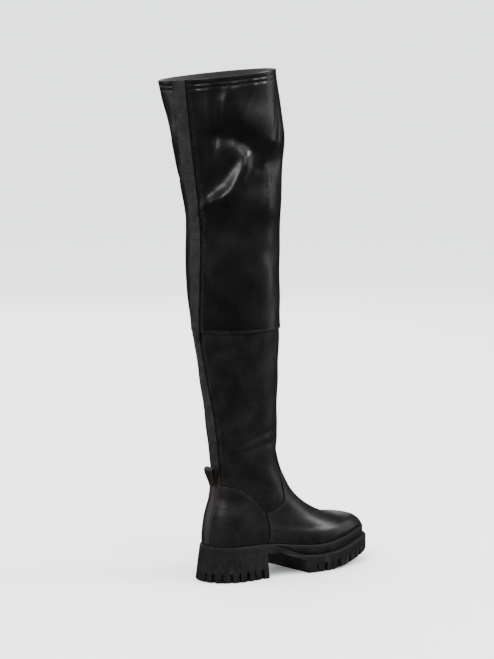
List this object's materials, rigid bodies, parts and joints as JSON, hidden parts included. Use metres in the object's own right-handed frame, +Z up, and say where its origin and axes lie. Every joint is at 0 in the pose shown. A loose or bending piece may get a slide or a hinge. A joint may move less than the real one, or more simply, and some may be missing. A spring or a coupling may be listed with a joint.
{
  "type": "thigh high boot",
  "caption": "Right thigh high boot with a hollow leather upper, stretch thigh panel, inner side zip and a cleated rubber sole with block heel.",
  "frame": {"origin": "on the floor, at the middle of the heel's tread", "axes": "+Z up the leg, -Y from heel to toe, +X to the inner side of the foot"},
  "size_m": [0.1351, 0.3217, 0.69],
  "materials": {
    "outsole": "matt moulded rubber",
    "midsole": "smooth matt rubber",
    "insole": "plain lining leather",
    "upper": "satin black leather",
    "thigh_shaft": "glossy black stretch coated leather",
    "vamp": "satin black leather",
    "counter": "satin black leather",
    "back_strip": "ribbed elastic, brown black",
    "pull_loop": "satin black leather",
    "zip_tape": "woven black tape",
    "zip_teeth": "dark nickel",
    "zip_slider": "polished nickel",
    "zip_pull": "polished nickel"
  },
  "bodies": {
    "boot": {"outsole": "outsole", "midsole": "midsole", "insole": "insole", "upper": "upper", "thigh_shaft": "thigh_shaft", "vamp": "vamp", "counter": "counter", "back_strip": "back_strip", "pull_loop": "pull_loop", "zip_tape": "zip_tape", "zip_teeth": "zip_teeth", "zip_slider": "zip_slider"},
    "pull": {"zip_pull": "zip_pull"}
  },
  "joints": [
    {"name": "pull_swing", "type": "hinge", "parent": "boot", "child": "pull", "pos_m": [0.04777, -0.03229, 0.25988], "axis": [-0.0982, -0.9926, 0.0708], "range_deg": [0, 150]}
  ]
}
